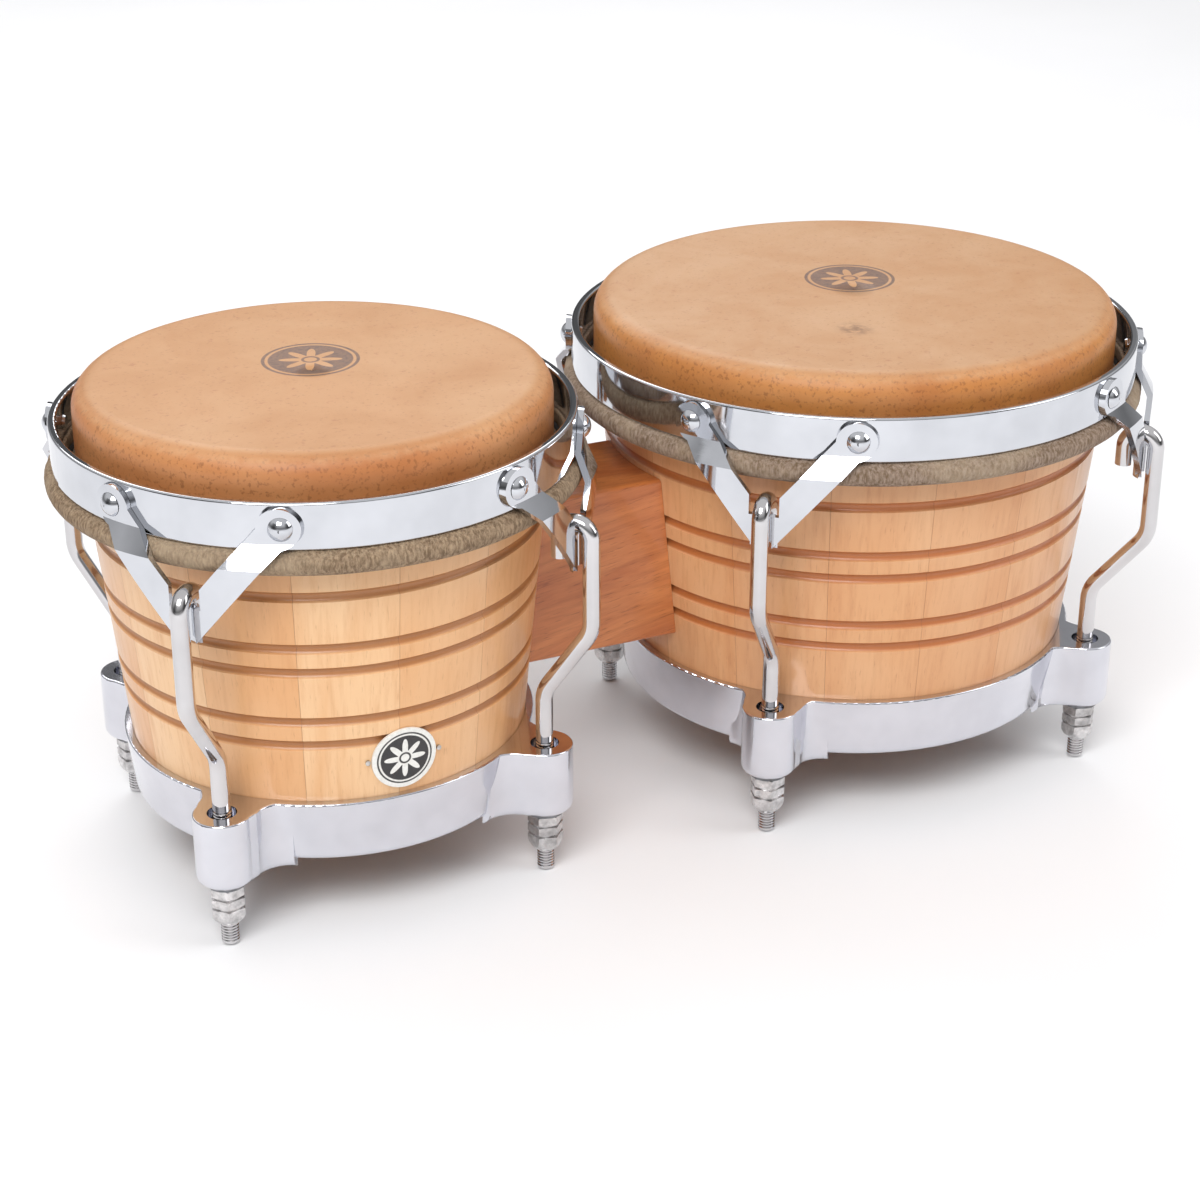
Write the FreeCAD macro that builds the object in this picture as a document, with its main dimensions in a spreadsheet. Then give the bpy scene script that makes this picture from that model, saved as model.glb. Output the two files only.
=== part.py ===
import FreeCAD, Part
import Sketcher
import math
import os
import re
from FreeCAD import Placement, Rotation, Vector

# A pair of bongo drums: a small and a large staved drum joined by a wooden centre block.
# X runs along the line of the two drums, the small one at -X. Z is up and the floor is z = 0.
# Each drum is built about its own axis, with local +X pointing at the centre block.

SIZES = {
    # overall
    "drum_gap": 12.4,
    "head_height": 204.5,
    # shells: outer radius under the head and at the foot, both drums
    "small_top_radius": 91.8,
    "large_top_radius": 109.2,
    "small_foot_radius": 78.4,
    "large_foot_radius": 94.8,
    "taper_top_drop": 32.5,
    "shell_foot_height": 36.0,
    "shell_wall": 9.0,
    "small_staves": 14,
    "large_staves": 16,
    "glue_line": 0.05,
    "bearing_round": 8.0,
    # turned grooves
    "groove_pitch": 10.4,
    "groove_top_pair": 148.0,
    "groove_mid_pair": 115.4,
    "groove_low_pair": 83.2,
    "groove_half_width": 2.2,
    "groove_depth": 1.5,
    # hide, hoop and rim
    "hide_thickness": 1.5,
    "hide_gap": 0.2,
    "head_side_drop": 30.5,
    "collar_section_radius": 5.0,
    "collar_gap": 2.6,
    "collar_centre_drop": 37.1,
    "hoop_section_radius": 3.4,
    "hoop_clearance": 0.1,
    "tuck_thickness": 1.4,
    "tuck_top_drop": 26.1,
    "rim_stand_off": 11.1,
    "rim_wall": 3.4,
    "rim_height": 18.5,
    "rim_bottom_drop": 32.0,
    "rim_edge_round": 1.0,
    # side plates and rivets
    "plate_thickness": 2.4,
    "plate_gap": 0.1,
    "plate_joggle": 5.5,
    "plate_step_drop": 6.8,
    "plate_step_height": 8.25,
    "plate_step_lead": 0.96,
    "plate_sweep": 70,
    "rivet_drop": 22.5,
    "rivet_offset": 33.5,
    "ear_radius": 7.8,
    "leg_half_width": 6.0,
    "leg_angle": 40.0,
    "apex_drop": 67.2,
    "gutter_top_drop": 53.9,
    "gutter_half_width": 6.2,
    "gutter_clearance": 0.7,
    "gutter_depth": 2.0,
    "rivet_shank_radius": 2.2,
    "rivet_head_radius": 4.6,
    "rivet_head_rise": 2.6,
    "rivet_hole_clearance": 0.05,
    "rivet_gap": 0.1,
    "rivet_tail_rise": 1.0,
    "rivet_tail_radius": 3.1,
    # tuning lugs
    "small_lug_offset": 16.6,
    "large_lug_offset": 15.4,
    "lug_radius": 3.5,
    "lug_gap": 0.8,
    "hook_clearance": 1.8,
    "hook_centre_drop": 55.1,
    "hook_tip_drop": 63.5,
    "jog_top_height": 115.0,
    "jog_low_height": 77.0,
    "jog_radius": 14.0,
    "thread_pitch": 1.25,
    "thread_depth": 0.55,
    "thread_half_mouth": 0.56,
    "thread_clear": 0.2,
    "thread_turns": 46,
    "tip_chamfer": 1.2,
    # nuts and washers
    "nut_across_flats": 12.6,
    "nut_bottom_height": 10.2,
    "nut_length": 16.6,
    "nut_running_clearance": 0.08,
    "nut_line_depth": 0.5,
    "nut_line_width": 0.7,
    "nut_line_low": 7.5,
    "nut_line_high": 12.0,
    "nut_top_chamfer": 0.6,
    "nut_nose_length": 5.0,
    "nut_nose_inset": 2.0,
    "washer_radius": 7.6,
    "washer_thickness": 1.4,
    "washer_gap": 0.15,
    "washer_hole_clearance": 0.4,
    # bottom ring
    "ring_top_height": 58.0,
    "ring_bottom_height": 31.5,
    "ring_wall": 3.2,
    "ring_round": 3.5,
    "ring_ledge_width": 7.0,
    "shell_seat_gap": 0.15,
    "ear_bottom_height": 28.5,
    "ear_boss_radius": 11.5,
    "ear_web_half_width": 12.5,
    "ear_round": 4.0,
    "ear_top_round": 0.8,
    "ear_flare": 9.0,
    "ear_neck_offset": 4.0,
    "ear_hole_clearance": 0.7,
    "ear_mouth_clearance": 2.3,
    "ear_mouth_depth": 7.0,
    # centre block and its fastenings
    "block_width": 51.0,
    "block_height": 72.0,
    "block_bottom_height": 72.0,
    "block_round": 1.6,
    "bolt_low_height": 92.0,
    "bolt_high_height": 124.0,
    "bolt_radius": 4.0,
    "bolt_hole_clearance": 0.3,
    "bolt_head_radius": 7.0,
    "bolt_head_thickness": 5.0,
    "bolt_head_round": 1.5,
    "bolt_head_gap": 1.2,
    "bolt_reach": 20.0,
    "insert_radius": 6.0,
    "insert_length": 22.0,
    "insert_inset": 1.5,
    "insert_gap": 0.05,
    "backing_thickness": 3.0,
    "backing_angle": 36.0,
    "backing_margin": 12.0,
    # badge
    "badge_height": 74.0,
    "badge_radius": 13.2,
    "badge_thickness": 0.9,
    "badge_turn": -88.7,
    "badge_sink": 2.0,
    "badge_gap": 0.2,
    "badge_pin_radius": 1.0,
    "badge_pin_reach": 14.6,
    "badge_pin_rise": 0.9,
}

# Heights that follow the head, each its drop below the playing surface
HUNG_HEIGHTS = ("taper_top", "head_side", "collar_centre", "tuck_top", "rim_bottom", "rivet",
                "apex", "gutter_top", "hook_centre", "hook_tip")
# How far a cutting tool runs past the piece it cuts, in mm
MARGIN = 10

LUG_TURNS = (-135, -45, 45, 135)
GROOVES = [f"groove_{pair}_pair + {offset} * groove_pitch"
           for pair in ("low", "mid", "top") for offset in (0, 1)][:-1]

doc = FreeCAD.newDocument("bongo_drums")
sheet = doc.addObject("Spreadsheet::Sheet", "Sizes")
cells = {name: str(number) for name, number in SIZES.items()}
cells.update({f"{name}_height": f"=head_height - {name}_drop" for name in HUNG_HEIGHTS})
for row, (name, content) in enumerate(cells.items(), start=1):
    sheet.set(f"A{row}", name)
    sheet.set(f"B{row}", content)
    sheet.setAlias(f"B{row}", name)
doc.recompute()
sub_parts = []


def formula(text):
    """A formula in size names, written as an expression on the sheet."""
    return re.sub(r"[a-z]+(?:_[a-z]+)+", lambda found: "Sizes." + found.group(0), str(text))


def value(text):
    """The present value of a formula in size names."""
    result = sheet.evalExpression(formula(text))
    return float(getattr(result, "Value", result))


def bind(target, **formulas):
    """Bind properties of an object to formulas in size names."""
    for prop, text in formulas.items():
        target.setExpression(prop, formula(text))


def keep(piece, label, place=None):
    """Name a finished sub-part and put it in its place."""
    piece.Label = label
    if place is not None:
        piece.Placement = place
    sub_parts.append(piece)
    return piece


def new_body(name):
    body = doc.addObject("PartDesign::Body", name)
    if hasattr(body, "AllowCompound"):
        body.AllowCompound = True
    return body


def new_sketch(body, role, turn=None, lift=None):
    """A sketch on an origin plane of the body, turned about the body's Z or lifted along it."""
    sketch = body.newObject("Sketcher::SketchObject", "outline")
    sketch.AttachmentSupport = [(plane(body, role), "")]
    sketch.MapMode = "FlatFace"
    if turn is not None:
        sketch.AttachmentOffset = Placement(Vector(), Rotation(Vector(0, 1, 0), value(turn)))
        sketch.setExpression("AttachmentOffset.Rotation.Angle", formula(turn))
    if lift is not None:
        sketch.AttachmentOffset = Placement(Vector(0, 0, value(lift)), Rotation())
        sketch.setExpression("AttachmentOffset.Base.z", formula(lift))
    return sketch


def plane(body, role):
    return next(item for item in body.Origin.OriginFeatures if item.Role == role)


def fix_point(sketch, geometry, end, point):
    """Hold one point of a sketch at the place two formulas give."""
    for kind, text in zip(("DistanceX", "DistanceY"), point):
        index = sketch.addConstraint(Sketcher.Constraint(kind, geometry, end, value(text)))
        sketch.setExpression(f"Constraints[{index}]", formula(text))


def fix_radius(sketch, geometry, text):
    index = sketch.addConstraint(Sketcher.Constraint("Radius", geometry, value(text)))
    sketch.setExpression(f"Constraints[{index}]", formula(text))


def circle(sketch, across, up, radius):
    centre = Vector(value(across), value(up), 0)
    index = sketch.addGeometry(Part.Circle(centre, Vector(0, 0, 1), value(radius)), False)
    fix_point(sketch, index, 3, (across, up))
    fix_radius(sketch, index, radius)


def arc_between(start, end, radius, side):
    """The short arc from start to end, its centre to the left (side 1) or right (-1) of the way."""
    chord = end - start
    rise = math.sqrt(max(radius ** 2 - (chord.Length / 2) ** 2, 0))
    left = Vector(-chord.y, chord.x, 0).normalize()
    centre = (start + end) * 0.5 + left * (side * rise)
    angles = [math.atan2(point.y - centre.y, point.x - centre.x) for point in (start, end)]
    if side < 0:
        angles.reverse()
    return Part.ArcOfCircle(Part.Circle(centre, Vector(0, 0, 1), radius), *angles)


def outline(sketch, points, closed=True):
    """A chain of lines and arcs. A point is (across, up), or (across, up, radius, side) where an
    arc leads on from it."""
    places = [Vector(value(point[0]), value(point[1]), 0) for point in points]
    count = len(points) if closed else len(points) - 1
    first = None
    last = None
    for index in range(count):
        start = places[index]
        end = places[(index + 1) % len(points)]
        if len(points[index]) == 2:
            edge = sketch.addGeometry(Part.LineSegment(start, end), False)
            ends = (1, 2)
        else:
            radius, side = points[index][2:]
            edge = sketch.addGeometry(arc_between(start, end, value(radius), side), False)
            fix_radius(sketch, edge, radius)
            ends = (1, 2) if side > 0 else (2, 1)
        fix_point(sketch, edge, ends[0], points[index][:2])
        if last is not None:
            sketch.addConstraint(Sketcher.Constraint("Coincident", last[0], last[1], edge, ends[0]))
        else:
            first = (edge, ends[0])
        last = (edge, ends[1])
    if closed:
        sketch.addConstraint(Sketcher.Constraint("Coincident", last[0], last[1], *first))
    else:
        fix_point(sketch, last[0], last[1], points[-1][:2])


def revolve(body, points, angle="360", turn=None, cut=False, axis=None):
    """Turn an outline in the XZ plane about the body's Z, or about the level line at height axis."""
    sketch = new_sketch(body, "XZ_Plane", turn=turn)
    outline(sketch, points)
    feature = body.newObject("PartDesign::Groove" if cut else "PartDesign::Revolution", "turned")
    feature.Profile = sketch
    if axis is None:
        feature.ReferenceAxis = (sketch, ["V_Axis"])
    else:
        line = Part.LineSegment(Vector(0, value(axis), 0), Vector(200, value(axis), 0))
        index = sketch.addGeometry(line, True)
        fix_point(sketch, index, 1, ("0", axis))
        fix_point(sketch, index, 2, ("200", axis))
        feature.ReferenceAxis = (sketch, ["Axis0"])
    feature.Midplane = True
    feature.setExpression("Angle", formula(angle))
    return feature


def polar(body, features, count):
    """Repeat features evenly about the body's Z."""
    doc.recompute()
    pattern = body.newObject("PartDesign::PolarPattern", "pattern")
    pattern.Originals = features
    pattern.Axis = (plane(body, "Z_Axis"), [""])
    pattern.Angle = 360
    pattern.setExpression("Occurrences", formula(count))
    body.Tip = pattern
    return pattern


def pad(body, role, points, length, lift=None):
    sketch = new_sketch(body, role, lift=lift)
    outline(sketch, points)
    feature = body.newObject("PartDesign::Pad", "pad")
    feature.Profile = sketch
    feature.setExpression("Length", formula(length))
    return feature


def primitive(kind, place=None, **formulas):
    shape = doc.addObject("Part::" + kind, kind.lower())
    bind(shape, **formulas)
    if place is not None:
        shape.Placement = place
    return shape


def join(kind, pieces):
    """A boolean of several objects: Cut takes the later ones from the first."""
    if kind == "Cut":
        result = pieces[0]
        for tool in pieces[1:]:
            cut = doc.addObject("Part::Cut", "cut")
            cut.Base = result
            cut.Tool = tool
            result = cut
        return result
    result = doc.addObject("Part::Multi" + kind, kind.lower())
    result.Shapes = pieces
    return result


def about_z(degrees, x=0.0, y=0.0, z=0.0):
    return Placement(Vector(x, y, z), Rotation(Vector(0, 0, 1), degrees))


class Drum:
    """One drum's formulas, its place in the row and its turn about its own axis."""

    def __init__(self, size, centre, turn):
        self.size = size
        self.centre = centre
        self.turn = turn
        self.top = f"{size}_top_radius"
        self.foot = f"{size}_foot_radius"
        self.staves = f"{size}_staves"
        self.lug_circle = f"({self.foot} + {size}_lug_offset)"
        self.head_out = f"({self.top} + hide_gap + hide_thickness)"
        self.collar_centre = f"({self.head_out} + collar_gap + collar_section_radius)"
        self.rim_out = f"({self.top} + rim_stand_off)"
        self.plate_in = f"({self.rim_out} + plate_gap + plate_joggle)"
        self.plate_out = f"({self.plate_in} + plate_thickness)"
        self.hook_out = f"({self.plate_out} + lug_gap + lug_radius)"
        self.reach = f"({self.collar_centre} + collar_section_radius)"
        self.rivet_turn = f"asin(rivet_offset / {self.rim_out}) / 1deg"
        self.place = about_z(turn, x=centre)

    def wall(self, height):
        """Outer radius of the shell's taper at a height, as a formula."""
        rise = "(taper_top_height - shell_foot_height)"
        return f"({self.foot} + ({self.top} - {self.foot}) * ({height} - shell_foot_height) / {rise})"

    def at_lug(self, turn, height=0.0):
        """Placement on a lug axis, its own X pointing out from the drum axis."""
        radius = value(self.lug_circle)
        x = self.centre + radius * math.cos(math.radians(turn))
        y = radius * math.sin(math.radians(turn))
        return about_z(turn, x=x, y=y, z=height)


SMALL_REACH = Drum("small", 0.0, 0.0).reach
LARGE_REACH = Drum("large", 0.0, 0.0).reach
SPACING = f"({SMALL_REACH} + drum_gap + {LARGE_REACH})"


def shell(drum):
    """Staves with a rounded bearing edge and turned grooves, each a solid of its own."""
    body = new_body("shell")
    top = "head_height - hide_thickness - hide_gap"
    groove_radius = "(groove_half_width ^ 2 + groove_depth ^ 2) / (2 * groove_depth)"
    points = [(f"{drum.foot} - shell_wall", "shell_foot_height"), (drum.foot, "shell_foot_height")]
    for height in GROOVES:
        low = f"{height} - groove_half_width"
        high = f"{height} + groove_half_width"
        points.append((drum.wall(f"({low})"), low, groove_radius, -1))
        points.append((drum.wall(f"({high})"), high))
    points.append((drum.top, "taper_top_height"))
    points.append((drum.top, f"{top} - bearing_round", "bearing_round", 1))
    points.append((f"{drum.top} - bearing_round", top))
    points.append((f"{drum.top} - shell_wall", f"{top} - 2 * bearing_round"))
    points.append((f"{drum.top} - shell_wall", "taper_top_height"))
    stave = revolve(body, points, f"360 / {drum.staves} - glue_line / {drum.foot} * 57.3")
    polar(body, [stave], drum.staves)
    doc.recompute()
    sketch = new_sketch(body, "YZ_Plane")
    for height in ("bolt_low_height", "bolt_high_height"):
        circle(sketch, "0", height, "bolt_radius + bolt_hole_clearance")
    holes = body.newObject("PartDesign::Pocket", "bolt_holes")
    holes.Profile = sketch
    holes.Type = "Length"
    holes.Reversed = True
    bind(holes, Length=f"{drum.top} + {MARGIN}")
    body.Tip = holes
    keep(body, f"{drum.size}_shell", drum.place)


def head(drum):
    """The playing skin: a flat top, a rounded crown and a side that runs down inside the rim."""
    body = new_body("head")
    crown = "(bearing_round + hide_gap + hide_thickness)"
    inner_crown = "(bearing_round + hide_gap)"
    inside = f"({drum.head_out} - hide_thickness)"
    under = "(head_height - hide_thickness)"
    points = [
        ("0", under),
        (f"{inside} - {inner_crown}", under, inner_crown, -1),
        (inside, f"{under} - {inner_crown}"),
        (inside, "head_side_height"),
        (drum.head_out, "head_side_height"),
        (drum.head_out, f"head_height - {crown}", crown, 1),
        (f"{drum.head_out} - {crown}", "head_height"),
        ("0", "head_height"),
    ]
    revolve(body, points)
    keep(body, f"{drum.size}_head", drum.place)


def collar(drum):
    """The skin lapped round the flesh hoop, with its cut edge standing up inside the rim."""
    body = new_body("collar")
    centre = drum.collar_centre
    tuck_out = f"({drum.rim_out} - rim_wall - hide_gap)"
    tuck_in = f"({tuck_out} - tuck_thickness)"
    section = "collar_section_radius"
    height = "collar_centre_height"
    reach_out = f"sqrt({section} ^ 2 - ({tuck_out} - {centre}) ^ 2)"
    reach_in = f"sqrt({section} ^ 2 - ({tuck_in} - {centre}) ^ 2)"
    points = [
        (tuck_in, f"{height} + {reach_in}", section, 1),
        (f"{centre} - {section}", height, section, 1),
        (centre, f"{height} - {section}", section, 1),
        (f"{centre} + {section}", height, section, 1),
        (tuck_out, f"{height} + {reach_out}"),
        (tuck_out, "tuck_top_height"),
        (tuck_in, "tuck_top_height"),
    ]
    lap = revolve(body, points)
    circle(lap.Profile[0], centre, height, "hoop_section_radius + hoop_clearance")
    keep(body, f"{drum.size}_hide_collar", drum.place)


def flesh_hoop(drum):
    hoop = primitive("Torus", Radius1=drum.collar_centre, Radius2="hoop_section_radius")
    place = about_z(drum.turn, x=drum.centre, z=value("collar_centre_height"))
    keep(hoop, f"{drum.size}_flesh_hoop", place)


def rivet_cuts(body, drum):
    """Rivet holes through a turned band, a pair at each side plate."""
    reach = "rivet_shank_radius + rivet_hole_clearance"
    inner = f"{drum.rim_out} - rim_wall - {MARGIN}"
    outer = f"{drum.rim_out} + {MARGIN}"
    points = [(inner, "rivet_height"), (outer, "rivet_height"),
              (outer, f"rivet_height + {reach}"), (inner, f"rivet_height + {reach}")]
    doc.recompute()
    pair = [revolve(body, points, turn=f"45 + {side} * {drum.rivet_turn}", cut=True, axis="rivet_height")
            for side in (1, -1)]
    polar(body, pair, "4")


def rim(drum):
    """The flat steel band that bears down on the collar."""
    body = new_body("rim")
    outer = drum.rim_out
    inner = f"({outer} - rim_wall)"
    low = "rim_bottom_height"
    high = "(rim_bottom_height + rim_height)"
    edge = "rim_edge_round"
    points = [
        (f"{inner} + {edge}", low),
        (f"{outer} - {edge}", low, edge, 1),
        (outer, f"{low} + {edge}"),
        (outer, f"{high} - {edge}", edge, 1),
        (f"{outer} - {edge}", high),
        (f"{inner} + {edge}", high, edge, 1),
        (inner, f"{high} - {edge}"),
        (inner, f"{low} + {edge}", edge, 1),
    ]
    revolve(body, points)
    rivet_cuts(body, drum)
    keep(body, f"{drum.size}_rim", drum.place)


def rivets(drum):
    """Domed rivets through the side plates' ears and the rim, with their tails peened inside."""
    body = new_body("rivets")
    seat = f"({drum.rim_out} + plate_gap + plate_thickness + rivet_gap)"
    inner = f"({drum.rim_out} - rim_wall - rivet_gap)"
    tail = f"({inner} - rivet_tail_rise)"
    line = "rivet_height"
    head_radius = "(rivet_head_rise ^ 2 + rivet_head_radius ^ 2) / (2 * rivet_head_rise)"
    points = [
        (tail, line),
        (f"{seat} + rivet_head_rise", line, head_radius, 1),
        (seat, f"{line} + rivet_head_radius"),
        (seat, f"{line} + rivet_shank_radius"),
        (inner, f"{line} + rivet_shank_radius"),
        (inner, f"{line} + rivet_tail_radius"),
        (tail, f"{line} + (rivet_shank_radius + rivet_tail_radius) / 2"),
    ]
    pair = [revolve(body, points, turn=f"45 + {side} * {drum.rivet_turn}", axis=line) for side in (1, -1)]
    polar(body, pair, "4")
    keep(body, f"{drum.size}_rivets", drum.place)


def plate_blank(drum):
    """A band that lies on the rim and steps outward below the rivets."""
    body = new_body("plate_blank")
    ear_in = f"({drum.rim_out} + plate_gap)"
    ear_out = f"({ear_in} + plate_thickness)"
    step_top = "(rivet_height - plate_step_drop)"
    step_low = f"({step_top} - plate_step_height)"
    points = [
        (drum.plate_in, f"apex_height - {MARGIN}"),
        (drum.plate_out, f"apex_height - {MARGIN}"),
        (drum.plate_out, f"{step_low} + plate_step_lead"),
        (ear_out, f"{step_top} + plate_step_lead"),
        (ear_out, f"rivet_height + ear_radius + {MARGIN}"),
        (ear_in, f"rivet_height + ear_radius + {MARGIN}"),
        (ear_in, step_top),
        (drum.plate_in, step_low),
    ]
    revolve(body, points, "plate_sweep")
    return body


def plate_outline(drum):
    """The V seen from outside: two round ears, two straight legs and a stepped apex."""
    body = new_body("plate_outline")
    sine = "sin(leg_angle * 1deg)"
    cosine = "cos(leg_angle * 1deg)"
    neck = "sqrt(ear_radius ^ 2 - leg_half_width ^ 2)"
    outer_run = f"((rivet_height - leg_half_width * {sine} - apex_height) / {cosine})"
    foot = f"rivet_offset + leg_half_width * {cosine} - {outer_run} * {sine}"
    inner_run = f"((rivet_offset - leg_half_width * {cosine} - gutter_half_width) / {sine})"
    step = f"rivet_height + leg_half_width * {sine} - {inner_run} * {cosine}"

    def ear_point(side, along, across):
        return (f"{side} * (rivet_offset + {along} * {sine} + {across} * {cosine})",
                f"rivet_height + {along} * {cosine} - {across} * {sine}")

    width = "leg_half_width"
    right = [
        (foot, "apex_height"),
        ear_point(1, f"(-1) * {neck}", width) + ("ear_radius", 1),
        ear_point(1, "ear_radius", "0") + ("ear_radius", 1),
        ear_point(1, f"(-1) * {neck}", f"(-1) * {width}"),
        ("gutter_half_width", step),
        ("gutter_half_width", "gutter_top_height"),
    ]
    left = [
        ("(-1) * gutter_half_width", "gutter_top_height"),
        ("(-1) * gutter_half_width", step),
        ear_point(-1, f"(-1) * {neck}", f"(-1) * {width}") + ("ear_radius", 1),
        ear_point(-1, "ear_radius", "0") + ("ear_radius", 1),
        ear_point(-1, f"(-1) * {neck}", width),
        (f"(-1) * ({foot})", "apex_height"),
    ]
    pad(body, "YZ_Plane", right + left, f"{drum.plate_out} + {MARGIN}")
    return body


def side_plate(drum, turn, number):
    """A pressed V plate: ears riveted to the rim, and a gutter at the apex for the lug's hook."""
    blank = join("Common", [plate_blank(drum), plate_outline(drum)])
    gutter_radius = "(lug_radius + gutter_clearance)"
    lead = f"({gutter_radius} - gutter_depth)"
    groove_centre = value(f"{drum.plate_out} + {lead}")
    apex = value("apex_height")
    rise = "gutter_top_height - apex_height"
    bulge = primitive("Cylinder", Placement(Vector(groove_centre, 0, apex), Rotation()), Height=rise,
                      Radius=f"{gutter_radius} + plate_thickness")
    block = 2 * MARGIN
    back = primitive("Box", Placement(Vector(groove_centre - block, -MARGIN, apex), Rotation()),
                     Length=f"{block} - {lead} - plate_thickness / 2", Width=block, Height=rise)
    gutter = join("Common", [bulge, back])
    solid = join("Fuse", [blank, gutter])
    groove = primitive("Cylinder", Placement(Vector(groove_centre, 0, apex - MARGIN), Rotation()),
                       Radius=gutter_radius, Height=f"{rise} + 4 * {MARGIN}")
    tools = [groove]
    for side in (1, -1):
        angle = side * value(drum.rivet_turn)
        spin = Rotation(Vector(0, 0, 1), angle) * Rotation(Vector(0, 1, 0), 90)
        start = Rotation(Vector(0, 0, 1), angle).multVec(Vector(value(drum.rim_out) - MARGIN, 0, 0))
        place = Placement(start + Vector(0, 0, value("rivet_height")), spin)
        tools.append(primitive("Cylinder", place, Radius="rivet_shank_radius + rivet_hole_clearance",
                               Height=3 * MARGIN))
    plate = join("Cut", [solid] + tools)
    keep(plate, f"{drum.size}_side_plate_{number}", about_z(turn, x=drum.centre))


def lug(drum, turn, number):
    """A round rod: hook over the side plate, bend in to the ring's ear, rolled thread to its tip."""
    body = new_body("lug")
    out = f"({drum.hook_out} - {drum.lug_circle})"
    rise = "(jog_top_height - jog_low_height)"
    straight = f"sqrt(({out} - 2 * jog_radius) ^ 2 + {rise} ^ 2 - 4 * jog_radius ^ 2)"
    lean = f"(atan(({out} - 2 * jog_radius) / {rise}) + atan(2 * jog_radius / {straight}))"
    sag = f"jog_radius * (1 - cos({lean}))"
    drop = f"jog_radius * sin({lean})"
    bend = "(lug_radius + plate_thickness / 2 + hook_clearance)"
    tip = f"({out} - 2 * {bend})"
    hook = "hook_centre_height"
    spine = new_sketch(body, "XZ_Plane")
    outline(spine, [
        ("0", "0"),
        ("0", "jog_low_height", "jog_radius", -1),
        (sag, f"jog_low_height + {drop}"),
        (f"{out} - {sag}", f"jog_top_height - {drop}", "jog_radius", 1),
        (out, "jog_top_height"),
        (out, hook, bend, 1),
        (f"{out} - {bend}", f"{hook} + {bend}", bend, 1),
        (tip, hook),
        (tip, "hook_tip_height"),
    ], closed=False)
    section = new_sketch(body, "XY_Plane")
    circle(section, "0", "0", "lug_radius")
    rod = body.newObject("PartDesign::AdditivePipe", "rod")
    rod.Profile = section
    rod.Spine = spine
    doc.recompute()
    crest = "(lug_radius + thread_clear)"
    root = "(lug_radius - thread_depth)"
    start = "(tip_chamfer + thread_pitch)"
    groove = revolve(body, [
        (crest, f"{start} - thread_half_mouth"),
        (crest, f"{start} + thread_half_mouth"),
        (root, start),
    ], cut=True)
    doc.recompute()
    thread = body.newObject("PartDesign::LinearPattern", "thread")
    thread.Originals = [groove]
    thread.Direction = (groove.Profile[0], ["V_Axis"])
    bind(thread, Length="thread_pitch * (thread_turns - 1)", Occurrences="thread_turns")
    body.Tip = thread
    doc.recompute()
    revolve(body, [
        (crest, "(-1) * thread_clear"),
        (crest, "tip_chamfer"),
        ("lug_radius", "tip_chamfer"),
        ("lug_radius - tip_chamfer", "0"),
        ("lug_radius - tip_chamfer", "(-1) * thread_clear"),
    ], cut=True)
    keep(body, f"{drum.size}_lug_{number}", drum.at_lug(turn))


def nut(drum, turn, number):
    """A long hexagon nut with two scribed lines and a rounded lower end."""
    half = "(nut_across_flats / 2)"
    corner = f"({half} / cos(30 * 1deg))"
    blank = new_body("nut_blank")
    sketch = new_sketch(blank, "XY_Plane")
    points = []
    for index in range(6):
        angle = 30 + 60 * index
        points.append((f"{corner} * cos({angle} * 1deg)", f"{corner} * sin({angle} * 1deg)"))
    outline(sketch, points)
    length = blank.newObject("PartDesign::Pad", "length")
    length.Profile = sketch
    bind(length, Length="nut_length")
    turned = new_body("nut_turned")
    bore = "lug_radius + nut_running_clearance"
    line = "nut_line_depth"
    width = "nut_line_width"
    points = [
        (bore, "0"),
        (f"{half} - nut_nose_inset", "0", half, 1),
        (corner, "nut_nose_length"),
    ]
    for middle in ("nut_line_low", "nut_line_high"):
        points.append((corner, f"{middle} - {width}"))
        points.append((f"{half} - {line}", f"{middle} - {width} / 2"))
        points.append((f"{half} - {line}", f"{middle} + {width} / 2"))
        points.append((corner, f"{middle} + {width}"))
    points += [
        (corner, "nut_length - nut_top_chamfer"),
        (f"{half}", "nut_length"),
        (bore, "nut_length"),
    ]
    revolve(turned, points)
    solid = join("Common", [blank, turned])
    keep(solid, f"{drum.size}_nut_{number}", drum.at_lug(turn, value("nut_bottom_height")))


def washers(drum):
    """Plain washers between the nuts and the ring's ears."""
    body = new_body("washers")
    sketch = new_sketch(body, "XY_Plane", lift="nut_bottom_height + nut_length + washer_gap")
    for turn in LUG_TURNS:
        across = f"{drum.lug_circle} * cos({turn} * 1deg)"
        up = f"{drum.lug_circle} * sin({turn} * 1deg)"
        circle(sketch, across, up, "washer_radius")
        circle(sketch, across, up, "lug_radius + washer_hole_clearance")
    feature = body.newObject("PartDesign::Pad", "pad")
    feature.Profile = sketch
    bind(feature, Length="washer_thickness")
    keep(body, f"{drum.size}_washers", drum.place)


def round_ear(body, feature, edge_height, radius, clear):
    """Round the ear's outline over at one height, away from the shell."""
    doc.recompute()
    names = [f"Edge{index}" for index, edge in enumerate(feature.Shape.Edges, start=1)
             if edge.BoundBox.ZLength < 0.01 and abs(edge.BoundBox.ZMax - edge_height) < 0.01
             and edge.BoundBox.XMin > clear]
    rounds = body.newObject("PartDesign::Fillet", "rounds")
    rounds.Base = (feature, names)
    bind(rounds, Radius=radius)
    body.Tip = rounds
    return rounds


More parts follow.
